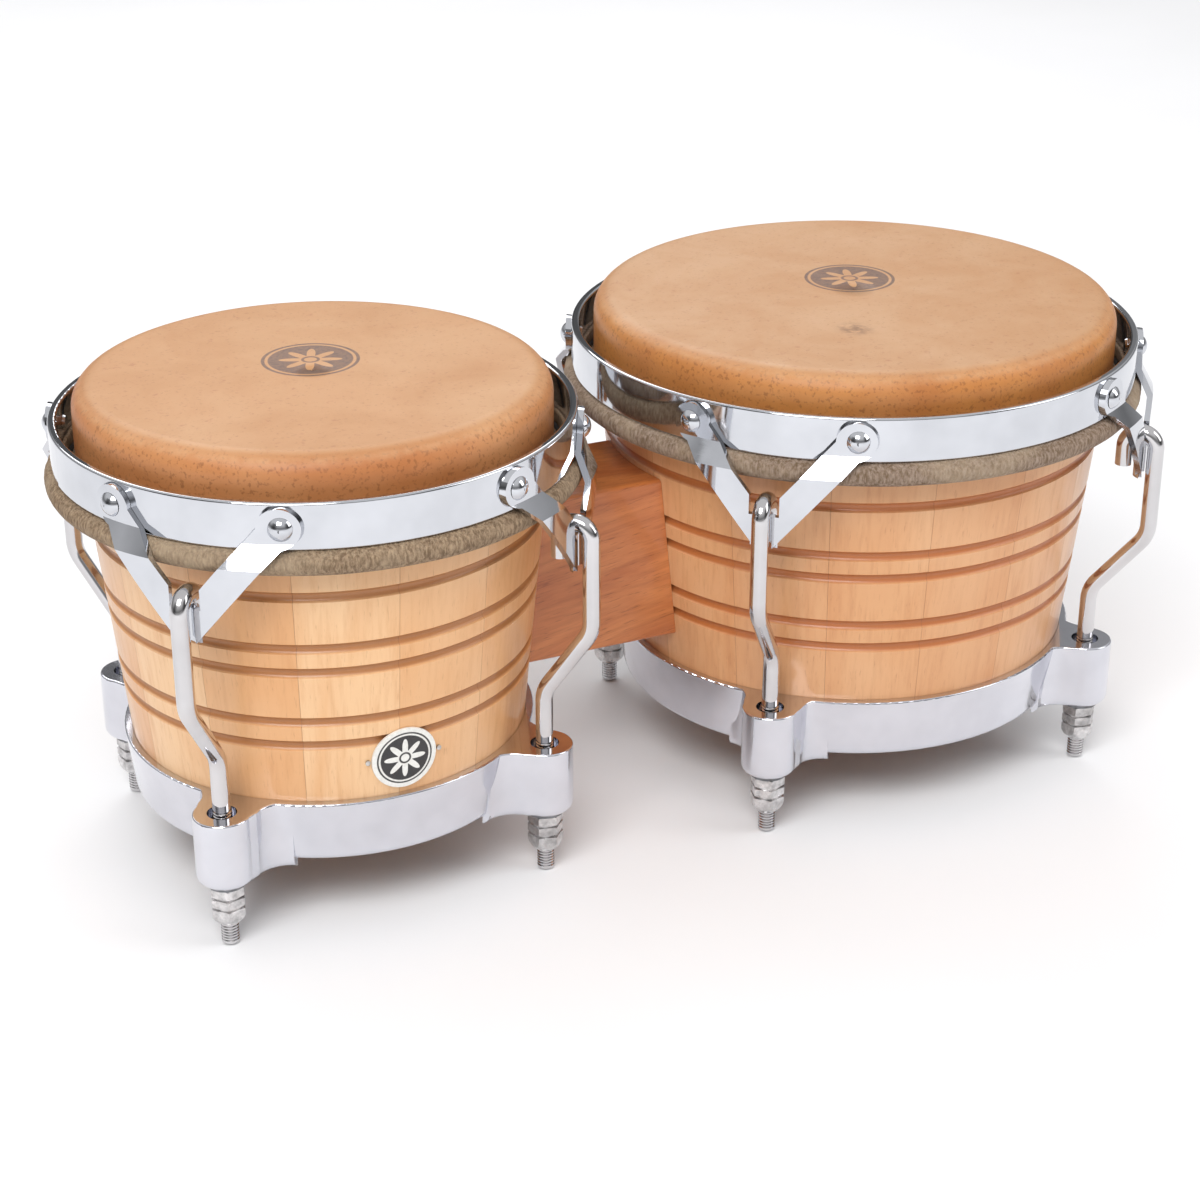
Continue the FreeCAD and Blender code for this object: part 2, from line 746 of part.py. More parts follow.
def ring_ears(drum):
    """A cast ear, flared into the ring, flat on top and rounded over underneath."""
    body = new_body("ears")
    arm = "ear_web_half_width"
    boss = "ear_boss_radius"
    root = f"({drum.foot} - 2)"
    flare = f"({drum.foot} + 1)"
    neck = f"({drum.lug_circle} - ear_neck_offset)"
    sweep = f"(({neck} - {flare}) ^ 2 + ear_flare ^ 2) / (2 * ear_flare)"
    ear = pad(body, "XY_Plane", [
        (root, f"(-1) * ({arm} + ear_flare)"),
        (flare, f"(-1) * ({arm} + ear_flare)", sweep, -1),
        (neck, f"(-1) * {arm}"),
        (drum.lug_circle, f"(-1) * {boss}", boss, 1),
        (f"{drum.lug_circle} + {boss}", "0", boss, 1),
        (drum.lug_circle, boss),
        (neck, arm, sweep, -1),
        (flare, f"{arm} + ear_flare"),
        (root, f"{arm} + ear_flare"),
    ], "ring_top_height - ear_bottom_height", lift="ear_bottom_height")
    low = round_ear(body, ear, value("ear_bottom_height"), "ear_round", value(drum.foot) - 1)
    round_ear(body, low, value("ring_top_height"), "ear_top_round", value(drum.foot) - 1)
    return body


def bottom_ring(drum):
    """The cast ring that carries the shell on a ledge and takes the lugs through four ears."""
    seat = f"({drum.wall('ring_top_height')} + shell_seat_gap)"
    foot = f"({drum.foot} + shell_seat_gap)"
    ledge = "(shell_foot_height - shell_seat_gap)"
    ledge_in = f"({drum.foot} - ring_ledge_width)"
    outer_low = f"({drum.wall('ring_bottom_height')} + ring_wall)"
    outer_top = f"({seat} + ring_wall)"
    band = new_body("band")
    revolve(band, [
        (ledge_in, "ring_bottom_height"),
        (f"{outer_low} - ring_round", "ring_bottom_height", "ring_round", 1),
        (outer_low, "ring_bottom_height + ring_round"),
        (outer_top, "ring_top_height - ear_top_round", "ear_top_round", 1),
        (f"{outer_top} - ear_top_round", "ring_top_height"),
        (ledge_in, "ring_top_height"),
    ])
    bore = new_body("bore")
    revolve(bore, [
        ("0", f"ring_bottom_height - {MARGIN}"),
        (ledge_in, f"ring_bottom_height - {MARGIN}"),
        (ledge_in, ledge),
        (foot, ledge),
        (seat, "ring_top_height"),
        (seat, f"ring_top_height + {MARGIN}"),
        ("0", f"ring_top_height + {MARGIN}"),
    ])
    ears = ring_ears(drum)
    tools = [bore]
    pieces = [band]
    for number, turn in enumerate(LUG_TURNS, start=1):
        pieces.append(ears if number == 1 else doc.addObject("App::Link", "ear"))
        if number > 1:
            pieces[-1].LinkedObject = ears
        pieces[-1].Placement = about_z(turn)
        x = value(drum.lug_circle) * math.cos(math.radians(turn))
        y = value(drum.lug_circle) * math.sin(math.radians(turn))
        tools.append(primitive("Cylinder", Placement(Vector(x, y, 0), Rotation()),
                               Radius="lug_radius + ear_hole_clearance", Height="head_height / 2"))
        mouth = value("ring_top_height - ear_mouth_depth")
        tools.append(primitive("Cylinder", Placement(Vector(x, y, mouth), Rotation()),
                               Radius="lug_radius + ear_mouth_clearance", Height="ear_mouth_depth + 1"))
    ring = join("Cut", [join("Fuse", pieces)] + tools)
    keep(ring, f"{drum.size}_bottom_ring", drum.place)


def backing_plate(drum):
    """A curved steel plate inside the shell that the block's bolts pull against."""
    body = new_body("backing")
    low = "(bolt_low_height - backing_margin)"
    high = "(bolt_high_height + backing_margin)"
    gap = "shell_seat_gap"

    def inner(height):
        rise = f"({height} - shell_foot_height) / (taper_top_height - shell_foot_height)"
        return f"({drum.foot} - shell_wall + ({drum.top} - {drum.foot}) * {rise} - {gap})"

    revolve(body, [
        (f"{inner(low)} - backing_thickness", low),
        (inner(low), low),
        (inner(high), high),
        (f"{inner(high)} - backing_thickness", high),
    ], "backing_angle")
    sketch = new_sketch(body, "YZ_Plane")
    for height in ("bolt_low_height", "bolt_high_height"):
        circle(sketch, "0", height, "bolt_radius + bolt_hole_clearance")
    doc.recompute()
    holes = body.newObject("PartDesign::Pocket", "holes")
    holes.Profile = sketch
    holes.Type = "Length"
    holes.Reversed = True
    bind(holes, Length=f"{drum.top} + {MARGIN}")
    body.Tip = holes
    keep(body, f"{drum.size}_backing_plate", drum.place)
    return inner


def level_pieces(drum, name, points_at):
    """Turned pieces on the two bolt lines, as one sub-part."""
    body = new_body(name)
    for height in ("bolt_low_height", "bolt_high_height"):
        revolve(body, points_at(height), axis=height)
        doc.recompute()
    keep(body, f"{drum.size}_{name}", drum.place)


def block_bolts(drum, inner):
    """Two bolts from inside the shell into the block."""
    def points(height):
        seat = f"({inner(height)} - backing_thickness - bolt_head_gap)"
        reach = f"({drum.wall(height)} + bolt_reach)"
        return [
            (f"{seat} - bolt_head_thickness", height),
            (f"{seat} - bolt_head_thickness", f"{height} + bolt_head_radius - bolt_head_round"),
            (f"{seat} - bolt_head_thickness + bolt_head_round", f"{height} + bolt_head_radius"),
            (seat, f"{height} + bolt_head_radius"),
            (seat, f"{height} + bolt_radius"),
            (reach, f"{height} + bolt_radius"),
            (reach, height),
        ]
    level_pieces(drum, "block_bolts", points)


def block_inserts(drum):
    """Threaded inserts in the block that the bolts screw into."""
    def points(height):
        start = f"({drum.wall(height)} + insert_inset)"
        end = f"({start} + insert_length)"
        bore = f"{height} + bolt_radius + insert_gap"
        return [(start, bore), (end, bore), (end, f"{height} + insert_radius"),
                (start, f"{height} + insert_radius")]
    level_pieces(drum, "block_inserts", points)


def centre_block(drums):
    """The hardwood block, hollowed at each end to fit round the shells."""
    small, large = drums
    length = large.centre - small.centre
    blank = doc.addObject("PartDesign::Body", "block_blank")
    sketch = new_sketch(blank, "YZ_Plane")
    half = "block_width / 2"
    low = "block_bottom_height"
    high = "block_bottom_height + block_height"
    outline(sketch, [(f"(-1) * {half}", low), (half, low), (half, high), (f"(-1) * {half}", high)])
    body = blank.newObject("PartDesign::Pad", "length")
    body.Profile = sketch
    bind(body, Length=SPACING)
    doc.recompute()
    edges = [f"Edge{index}" for index, edge in enumerate(body.Shape.Edges, start=1)
             if abs(edge.BoundBox.XLength - length) < 0.01]
    rounds = blank.newObject("PartDesign::Fillet", "rounds")
    rounds.Base = (body, edges)
    bind(rounds, Radius="block_round")
    blank.Tip = rounds
    blank.Placement = about_z(0, x=small.centre)
    tools = []
    for drum in drums:
        hollow = new_body("hollow")
        gap = "shell_seat_gap"
        revolve(hollow, [
            ("0", "shell_foot_height"),
            (f"{drum.foot} + {gap}", "shell_foot_height"),
            (f"{drum.top} + {gap}", "taper_top_height"),
            ("0", "taper_top_height"),
        ])
        hollow.Placement = drum.place
        tools.append(hollow)
        for height in ("bolt_low_height", "bolt_high_height"):
            reach = f"{drum.wall(height)} + insert_length + insert_inset"
            spin = Rotation(Vector(0, 0, 1), drum.turn) * Rotation(Vector(0, 1, 0), 90)
            place = Placement(Vector(drum.centre, 0, value(height)), spin)
            tools.append(primitive("Cylinder", place, Radius="insert_radius + insert_gap", Height=reach))
    block = join("Cut", [blank] + tools)
    keep(block, "centre_block")


def badge(drum):
    """A plain round plate on the front staves, on two small nails."""
    lean = math.degrees(math.atan(value(
        f"({drum.top} - {drum.foot}) / (taper_top_height - shell_foot_height)")))
    radius = value(drum.wall("badge_height"))
    sink = value("badge_sink")
    spin = Rotation(Vector(0, 0, 1), value("badge_turn")) * Rotation(Vector(0, 1, 0), 90 + lean)
    out = Rotation(Vector(0, 0, 1), value("badge_turn")).multVec(Vector(radius - sink, 0, 0))
    face = Placement(Vector(drum.centre, 0, value("badge_height")) + out, spin)
    disc = primitive("Cylinder", face, Radius="badge_radius", Height="2 * badge_sink + badge_thickness")
    skin = new_body("badge_skin")
    inner = f"({drum.foot} + badge_gap)"
    rise = f"({drum.top} - {drum.foot})"
    points = [
        (inner, "shell_foot_height"),
        (f"{inner} + badge_thickness", "shell_foot_height"),
        (f"{inner} + {rise} + badge_thickness", "taper_top_height"),
        (f"{inner} + {rise}", "taper_top_height"),
    ]
    revolve(skin, points)
    skin.Placement = drum.place
    keep(join("Common", [disc, skin]), "badge")
    pins = []
    for side in (1, -1):
        angle = value("badge_turn") + side * math.degrees(value("badge_pin_reach") / radius)
        spin = Rotation(Vector(0, 0, 1), angle) * Rotation(Vector(0, 1, 0), 90)
        place = Placement(Vector(drum.centre, 0, value("badge_height")), spin)
        start = Placement(place.multVec(Vector(0, 0, radius + value("badge_gap") / 2)), spin)
        pins.append(primitive("Cylinder", start, Radius="badge_pin_radius", Height="badge_pin_rise"))
    keep(join("Fuse", pins), "badge_pins")


def build():
    left = value(f"{SMALL_REACH} - ({SPACING} + {SMALL_REACH} + {LARGE_REACH}) / 2")
    drums = (Drum("small", left, 0.0), Drum("large", left + value(SPACING), 180.0))
    for drum in drums:
        shell(drum)
        head(drum)
        collar(drum)
        flesh_hoop(drum)
        rim(drum)
        rivets(drum)
        for number, turn in enumerate(LUG_TURNS, start=1):
            side_plate(drum, turn, number)
            lug(drum, turn, number)
            nut(drum, turn, number)
        washers(drum)
        bottom_ring(drum)
        inner = backing_plate(drum)
        block_bolts(drum, inner)
        block_inserts(drum)
    centre_block(drums)
    badge(drums[0])


def export():
    doc.recompute()
    faults = [f"{item.Name}: {item.State}" for item in doc.Objects
              if "Invalid" in item.State or "Error" in item.State]
    for piece in sub_parts:
        if piece.Shape.isNull() or not piece.Shape.isValid():
            faults.append(f"{piece.Label}: no valid shape")
    if faults:
        raise RuntimeError("the model did not rebuild: " + "; ".join(faults))
    os.makedirs("parts", exist_ok=True)
    for piece in sub_parts:
        piece.Shape.exportStep(f"parts/{piece.Label}.step")
        print(piece.Label, len(piece.Shape.Solids), round(piece.Shape.Volume))


build()
export()
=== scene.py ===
import math

import bmesh
import bpy
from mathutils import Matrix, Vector, noise


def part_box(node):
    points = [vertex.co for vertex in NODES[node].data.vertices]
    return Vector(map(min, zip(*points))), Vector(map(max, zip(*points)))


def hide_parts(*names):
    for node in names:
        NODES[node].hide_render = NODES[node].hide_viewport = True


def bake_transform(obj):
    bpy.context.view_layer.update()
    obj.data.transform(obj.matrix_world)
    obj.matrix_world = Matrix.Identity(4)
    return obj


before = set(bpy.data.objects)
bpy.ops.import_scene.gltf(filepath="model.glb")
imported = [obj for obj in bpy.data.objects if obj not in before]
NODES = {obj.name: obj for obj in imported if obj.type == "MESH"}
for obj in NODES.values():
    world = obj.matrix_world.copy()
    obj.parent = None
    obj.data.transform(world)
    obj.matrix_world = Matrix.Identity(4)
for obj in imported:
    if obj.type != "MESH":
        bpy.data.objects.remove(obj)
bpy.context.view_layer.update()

SIZES = ("small", "large")
PLATES = (1, 2, 3, 4)
MM = 0.001


# ---------------------------------------------------------------- node helpers

def srgb(red, green, blue):
    """A display colour, 0 to 255, as the linear colour that shaders use."""
    def linear(level):
        level /= 255
        return level / 12.92 if level <= 0.04045 else ((level + 0.055) / 1.055) ** 2.4
    return (linear(red), linear(green), linear(blue), 1.0)


class Shader:
    """A material under construction: adds nodes by short calls and joins them up."""

    def __init__(self, name):
        self.material = bpy.data.materials.new(name)
        self.material.use_nodes = True
        self.tree = self.material.node_tree
        self.surface = self.tree.nodes["Principled BSDF"]

    def node(self, kind, **settings):
        made = self.tree.nodes.new(kind)
        for name, setting in settings.items():
            setattr(made, name, setting)
        return made

    def put(self, socket, value):
        """Join an output to a socket, or set the socket to a plain value."""
        if isinstance(value, bpy.types.NodeSocket):
            self.tree.links.new(value, socket)
        else:
            socket.default_value = value

    def math(self, operation, first, second=0.0):
        made = self.node("ShaderNodeMath", operation=operation)
        for socket, value in zip(made.inputs, (first, second)):
            self.put(socket, value)
        return made.outputs[0]

    def span(self, value, low, high, to_low=0.0, to_high=1.0, smooth=False):
        made = self.node("ShaderNodeMapRange")
        if smooth:
            made.interpolation_type = "SMOOTHSTEP"
        for name, given in zip(("Value", "From Min", "From Max", "To Min", "To Max"),
                               (value, low, high, to_low, to_high)):
            self.put(made.inputs[name], given)
        return made.outputs["Result"]

    def mix(self, share, first, second):
        made = self.node("ShaderNodeMix", data_type="RGBA", blend_type="MIX")
        self.put(made.inputs["Factor"], share)
        self.put(made.inputs[6], first)
        self.put(made.inputs[7], second)
        return made.outputs[2]

    def noise(self, where, scale, detail=3.0, rough=0.55, warp=0.0):
        made = self.node("ShaderNodeTexNoise", noise_dimensions="3D")
        self.put(made.inputs["Vector"], where)
        made.inputs["Scale"].default_value = scale
        made.inputs["Detail"].default_value = detail
        made.inputs["Roughness"].default_value = rough
        made.inputs["Distortion"].default_value = warp
        return made.outputs["Fac"]

    def object_place(self):
        return self.node("ShaderNodeTexCoord").outputs["Object"]

    def scaled(self, where, scale):
        made = self.node("ShaderNodeMapping")
        self.put(made.inputs["Vector"], where)
        made.inputs["Scale"].default_value = scale
        return made.outputs["Vector"]

    def parts(self, where):
        made = self.node("ShaderNodeSeparateXYZ")
        self.put(made.inputs[0], where)
        return made.outputs

    def vector(self, x, y, z):
        made = self.node("ShaderNodeCombineXYZ")
        for socket, value in zip(made.inputs, (x, y, z)):
            self.put(socket, value)
        return made.outputs[0]

    def random(self, value):
        made = self.node("ShaderNodeTexWhiteNoise", noise_dimensions="1D")
        self.put(made.inputs["W"], value)
        return made.outputs["Value"]

    def bump(self, height, distance, strength=1.0, under=None):
        made = self.node("ShaderNodeBump")
        self.put(made.inputs["Height"], height)
        made.inputs["Distance"].default_value = distance
        made.inputs["Strength"].default_value = strength
        if under is not None:
            self.put(made.inputs["Normal"], under)
        return made.outputs["Normal"]

    def finish(self, **sockets):
        """Set the surface's sockets; underscores in a name stand for spaces."""
        for name, value in sockets.items():
            self.put(self.surface.inputs[name.replace("_", " ")], value)
        return self.material


def polar(shader, centre):
    """Distance from and angle about a drum's axis, and height, of the shaded point."""
    x, y, z = shader.parts(shader.object_place())
    x = shader.math("SUBTRACT", x, centre[0])
    y = shader.math("SUBTRACT", y, centre[1])
    square = shader.math("ADD", shader.math("MULTIPLY", x, x), shader.math("MULTIPLY", y, y))
    radius = shader.math("SQRT", square)
    return radius, shader.math("ARCTAN2", y, x), z


# ---------------------------------------------------------------- places read from the frame

class Drum:
    """A drum's main sizes, read from its CAD boxes."""

    def __init__(self, size):
        self.size = size
        head_low, head_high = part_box(f"{size}_head")
        lap_low, lap_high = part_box(f"{size}_hide_collar")
        hoop_low, hoop_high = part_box(f"{size}_flesh_hoop")
        rim_low, rim_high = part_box(f"{size}_rim")
        shell_low, shell_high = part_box(f"{size}_shell")
        self.centre = ((head_low[0] + head_high[0]) / 2, 0.0)
        self.head_radius = (head_high[1] - head_low[1]) / 2
        self.head_top = head_high[2]
        self.lap_radius = (lap_high[1] - lap_low[1]) / 2
        self.lap_low = lap_low[2]
        self.tuck_top = lap_high[2]
        self.hoop_radius = (hoop_high[1] - hoop_low[1]) / 2 - (hoop_high[2] - hoop_low[2]) / 2
        self.hoop_height = (hoop_high[2] + hoop_low[2]) / 2
        self.rim_radius = (rim_high[1] - rim_low[1]) / 2
        self.rim_low = rim_low[2]
        self.top_radius = (shell_high[1] - shell_low[1]) / 2
        self.shell_low = shell_low[2]


DRUMS = {size: Drum(size) for size in SIZES}


# ---------------------------------------------------------------- materials

# The staves' number and taper repeat the CAD model's sizes.
STAVES = {"small": 14, "large": 16}
WOOD_TONES = {"small": ((239, 196, 149), (225, 166, 111), (203, 138, 84), (244, 208, 166)),
              "large": ((229, 178, 130), (211, 146, 94), (184, 116, 66), (233, 190, 148))}
# Colours of the painted shade inside the turned grooves.
GROOVE_SHADE_TONES = {"small": (166, 104, 52), "large": (176, 98, 44)}
TAPER_TOP = 172 * MM
FOOT_DROP = {"small": 13.4 * MM, "large": 14.4 * MM}


def stave_wood(drum):
    """Pale lacquered staves: a tone and grain of its own for each, with painted shade darkening the turned
    grooves.
    """
    made = Shader(f"{drum.size}_stave_wood")
    radius, angle, height = polar(made, drum.centre)
    step = 2 * math.pi / STAVES[drum.size]
    turn = made.math("ADD", made.math("DIVIDE", angle, step), 0.5)
    index = made.math("FLOOR", turn)
    seed = 3.7 if drum.size == "small" else 9.2
    tone = made.random(made.math("ADD", index, seed))
    tilt = made.random(made.math("ADD", index, seed + 40.5))
    across = made.math("MULTIPLY", angle, drum.top_radius)
    across = made.math("ADD", across, made.math("MULTIPLY", tone, 3.0))
    lean = made.math("MULTIPLY", made.math("SUBTRACT", tilt, 0.5), made.math("MULTIPLY", height, 0.10))
    across = made.math("ADD", across, lean)
    along = made.math("ADD", height, made.math("MULTIPLY", tilt, 2.0))
    where = made.vector(across, radius, along)
    figure = made.noise(made.scaled(where, (34, 34, 5)), 1.0, 4, 0.55, 1.2)
    streak = made.noise(made.scaled(where, (420, 420, 14)), 1.0, 4, 0.6, 0.3)
    pores = made.noise(made.scaled(where, (1500, 1500, 60)), 1.0, 2, 0.6)
    cloud = made.noise(made.object_place(), 16, 2, 0.5)
    pale, warm, grain_tone, light = WOOD_TONES[drum.size]
    base = made.mix(made.span(tone, 0, 1), srgb(*pale), srgb(*warm))
    base = made.mix(made.span(figure, 0.38, 0.70, 0, 0.65), base, srgb(*warm))
    base = made.mix(made.span(streak, 0.48, 0.78, 0, 0.40), base, srgb(*grain_tone))
    base = made.mix(made.span(cloud, 0.45, 0.7, 0, 0.35), base, srgb(*light))
    base = made.mix(made.span(pores, 0.62, 0.74, 0, 0.30), base, srgb(160, 98, 54))
    # Painted shade: the wood colour is darkened inside the turned grooves, more where they cut deeper.
    rise = made.span(height, drum.shell_low, TAPER_TOP, 0, FOOT_DROP[drum.size])
    taper = made.math("ADD", rise, drum.top_radius - FOOT_DROP[drum.size])
    depth = made.math("SUBTRACT", taper, radius)
    outer = made.math("LESS_THAN", depth, 4 * MM)
    groove_shade = made.math("MULTIPLY", made.span(depth, 0.05 * MM, 1.1 * MM, 0, 1, True), outer)
    base = made.mix(made.math("MULTIPLY", groove_shade, 0.85), base, srgb(*GROOVE_SHADE_TONES[drum.size]))
    seam = made.math("ABSOLUTE", made.math("SUBTRACT", made.math("FRACT", turn), 0.5))
    base = made.mix(made.span(seam, 0.494, 0.5, 0, 0.5), base, srgb(150, 92, 48))
    normal = made.bump(streak, 0.05 * MM, 0.5)
    normal = made.bump(made.span(pores, 0.6, 0.72, 1, 0), 0.04 * MM, 0.35, normal)
    return made.finish(Base_Color=base, Roughness=made.span(streak, 0.3, 0.8, 0.34, 0.46), Normal=normal,
                       Coat_Weight=0.35, Coat_Roughness=0.18, Specular_IOR_Level=0.45)


def block_wood():
    """Red-brown hardwood with fine dark pores and slanting grain, under gloss lacquer."""
    made = Shader("block_wood")
    where = made.object_place()
    turn = made.node("ShaderNodeVectorRotate", rotation_type="Y_AXIS")
    made.put(turn.inputs["Vector"], where)
    turn.inputs["Angle"].default_value = math.radians(9)
    where = turn.outputs[0]
    figure = made.noise(made.scaled(where, (9, 30, 42)), 1.0, 4, 0.6, 1.6)
    streak = made.noise(made.scaled(where, (30, 420, 420)), 1.0, 4, 0.6, 0.4)
    pores = made.noise(made.scaled(where, (130, 1700, 1700)), 1.0, 2, 0.6)
    base = made.mix(made.span(figure, 0.32, 0.7), srgb(222, 142, 80), srgb(186, 104, 54))
    base = made.mix(made.span(streak, 0.45, 0.75, 0, 0.5), base, srgb(160, 84, 42))
    base = made.mix(made.span(pores, 0.6, 0.72, 0, 0.5), base, srgb(120, 60, 30))
    normal = made.bump(streak, 0.06 * MM, 0.4)
    return made.finish(Base_Color=base, Roughness=made.span(figure, 0.3, 0.7, 0.26, 0.36), Normal=normal,
                       Coat_Weight=0.3, Coat_Roughness=0.08)


# Places on the heads, measured from each drum's axis
PRINT_PLACE = {"small": (3 * MM, 12 * MM), "large": (6 * MM, 14 * MM)}
PRINT_TURN = -0.42
PRINT_RADIUS = 19.5 * MM
SMUDGE_PLACE = (-26 * MM, -46 * MM)


def hide(drum):
    """Rawhide: tan and faintly mottled on top, deeper amber down the side, grey and furry at the lap, with a
    painted highlight along the crown.
    """
    made = Shader(f"{drum.size}_hide")
    radius, _, height = polar(made, drum.centre)
    place = made.object_place()
    x, y, z = made.parts(place)
    mottle = made.noise(place, 26, 5, 0.6, 0.4)
    blotch = made.noise(place, 9, 3, 0.5, 0.8)
    speck = made.noise(place, 620, 2, 0.6)
    fleck = made.noise(place, 210, 3, 0.65)
    fibre = made.noise(made.scaled(place, (900, 900, 260)), 1.0, 4, 0.7)
    large = drum.size == "large"
    top = srgb(200, 157, 118) if large else srgb(199, 149, 104)
    base = made.mix(made.span(mottle, 0.35, 0.7, 0, 0.7), top, srgb(185, 134, 90))
    base = made.mix(made.span(blotch, 0.5, 0.75, 0, 0.5), base, srgb(208, 167, 126))
    base = made.mix(made.span(speck, 0.60, 0.72, 0, 0.35), base, srgb(150, 98, 62))
    base = made.mix(made.span(fleck, 0.62, 0.74, 0, 0.45), base, srgb(163, 98, 66))
    side = srgb(200, 134, 70) if large else srgb(192, 126, 76)
    side = made.mix(made.span(mottle, 0.35, 0.7, 0, 0.7), side, srgb(172, 104, 54))
    side = made.mix(made.span(blotch, 0.45, 0.7, 0, 0.5), side, srgb(218, 164, 112))
    side = made.mix(made.span(speck, 0.54, 0.68, 0, 0.5), side, srgb(124, 74, 42))
    down = made.span(radius, drum.head_radius - 7.5 * MM, drum.head_radius - 1.5 * MM, 0, 1, True)
    base = made.mix(down, base, side)
    # Painted highlight: a pale band along the rounded crown of the head, just below its top.
    crown = made.math("ABSOLUTE", made.math("SUBTRACT", radius, drum.head_radius - 3.2 * MM))
    crown = made.math("MULTIPLY", made.span(crown, 0, 2.2 * MM, 1, 0, True), made.span(
        height, drum.head_top - 8 * MM, drum.head_top - 4 * MM))
    crown = made.math("MULTIPLY", crown, made.span(fleck, 0.3, 0.6, 0.1, 0.4))
    base = made.mix(crown, base, srgb(216, 172, 130))
    if large:
        smudge = distance_to(made, x, y, drum.centre[0] + SMUDGE_PLACE[0], SMUDGE_PLACE[1])
        smudge = made.math("MULTIPLY", made.span(smudge, 2 * MM, 11 * MM, 1, 0, True), made.span(
            fleck, 0.38, 0.62, 0, 0.75))
        base = made.mix(smudge, base, srgb(128, 92, 66))
    lap = srgb(166, 146, 130) if large else srgb(174, 150, 122)
    lap = made.mix(made.span(fibre, 0.38, 0.66), srgb(112, 90, 68), lap)
    lap = made.mix(made.span(mottle, 0.45, 0.7, 0, 0.6), lap, srgb(186, 166, 140))
    inner = made.span(height, drum.rim_low + 4 * MM, drum.rim_low + 9 * MM, 0, 1, True)
    outside = made.span(radius, drum.head_radius + 0.8 * MM, drum.head_radius + 2.2 * MM, 0, 1, True)
    lap_share = made.math("MAXIMUM", outside, made.math("SUBTRACT", 1.0, inner))
    base = made.mix(lap_share, base, lap)
    print_x, print_y = PRINT_PLACE[drum.size]
    across = made.math("SUBTRACT", x, drum.centre[0] + print_x)
    back = made.math("SUBTRACT", y, print_y)
    ink = print_mark(made, across, back, PRINT_TURN)
    ink = made.math("MULTIPLY", ink, made.math("GREATER_THAN", z, drum.head_top - 1 * MM))
    ink = made.math("MULTIPLY", ink, made.span(speck, 0.3, 0.6, 0.86, 0.68))
    base = made.mix(ink, base, srgb(86, 70, 70))
    normal = made.bump(mottle, 0.5 * MM, 0.25)
    normal = made.bump(speck, 0.05 * MM, 0.5, normal)
    normal = made.bump(made.math("MULTIPLY", fibre, lap_share), 0.9 * MM, 0.8, normal)
    rough = made.span(mottle, 0.3, 0.7, 0.40, 0.52)
    rough = made.math("ADD", rough, made.math("MULTIPLY", lap_share, 0.4))
    return made.finish(Base_Color=base, Roughness=rough, Normal=normal, Specular_IOR_Level=0.42,
                       Subsurface_Weight=0.06, Subsurface_Radius=(0.004, 0.002, 0.001), Subsurface_Scale=0.5)


def ring_mask(made, distance, radius, half_width, soft=0.15 * MM):
    away = made.math("ABSOLUTE", made.math("SUBTRACT", distance, radius))
    return made.span(away, half_width - soft, half_width + soft, 1, 0)


def disc_mask(made, distance, radius, soft=0.15 * MM):
    return made.span(distance, radius - soft, radius + soft, 1, 0)


def distance_to(made, x, y, centre_x, centre_y):
    x = made.math("SUBTRACT", x, centre_x)
    y = made.math("SUBTRACT", y, centre_y)
    return made.math("SQRT", made.math("ADD", made.math("MULTIPLY", x, x), made.math("MULTIPLY", y, y)))


def rosette(made, x, y, size):
    """A plain flower with eight petals and a round eye: 1 inside it, 0 outside."""
    distance = distance_to(made, x, y, 0.0, 0.0)
    wave = made.math("COSINE", made.math("MULTIPLY", made.math("ARCTAN2", y, x), 8.0))
    reach = made.math("ADD", 0.44 * size, made.math("MULTIPLY", wave, 0.20 * size))
    petals = made.span(made.math("SUBTRACT", reach, distance), -0.15 * MM, 0.15 * MM)
    return made.math("SUBTRACT", petals, ring_mask(made, distance, 0.16 * size, 0.03 * size))


def print_mark(made, x, y, turn):
    """A faded stamp: an inked disc with an outer ring, a plain flower left clear inside."""
    cosine = math.cos(turn)
    sine = math.sin(turn)
    across = made.math("SUBTRACT", made.math("MULTIPLY", x, cosine), made.math("MULTIPLY", y, sine))
    up = made.math("ADD", made.math("MULTIPLY", x, sine), made.math("MULTIPLY", y, cosine))
    distance = distance_to(made, across, up, 0.0, 0.0)
    disc = disc_mask(made, distance, 0.86 * PRINT_RADIUS)
    edge = ring_mask(made, distance, 0.96 * PRINT_RADIUS, 0.035 * PRINT_RADIUS)
    clear = rosette(made, across, up, PRINT_RADIUS)
    return made.math("MAXIMUM", edge, made.math("MULTIPLY", disc, made.math("SUBTRACT", 1.0, clear)))


def chrome(name, tint=(212, 214, 219), rough=0.06):
    """Polished plate with faint polishing marks and a few duller patches."""
    made = Shader(name)
    place = made.object_place()
    haze = made.noise(place, 35, 3, 0.6)
    scratch = made.noise(made.scaled(place, (90, 90, 1400)), 1.0, 3, 0.7)
    wave = made.noise(place, 70, 2, 0.5)
    base = made.mix(made.span(haze, 0.35, 0.75), srgb(*tint), srgb(*(level - 14 for level in tint)))
    level = made.math("ADD", made.span(haze, 0.4, 0.75, rough * 0.7, rough * 1.8), made.span(
        scratch, 0.6, 0.8, 0, 0.05))
    normal = made.bump(wave, 0.10 * MM, 0.25)
    normal = made.bump(scratch, 0.01 * MM, 0.25, normal)
    return made.finish(Base_Color=base, Metallic=1.0, Roughness=level, Normal=normal)


def dull_steel(name, tint, rough, scale=260):
    """Plated steel with a fine grain and patches of grime."""
    made = Shader(name)
    place = made.object_place()
    grain = made.noise(place, scale, 4, 0.65)
    stain = made.noise(place, 60, 3, 0.6)
    base = made.mix(made.span(grain, 0.35, 0.7), srgb(*tint), srgb(*(level * 0.72 for level in tint)))
    base = made.mix(made.span(stain, 0.52, 0.72, 0, 0.5), base, srgb(*(level * 0.5 for level in tint)))
    level = made.span(grain, 0.3, 0.7, rough, rough + 0.16)
    return made.finish(Base_Color=base, Metallic=1.0, Roughness=level, Normal=made.bump(grain, 0.05 * MM, 0.5))


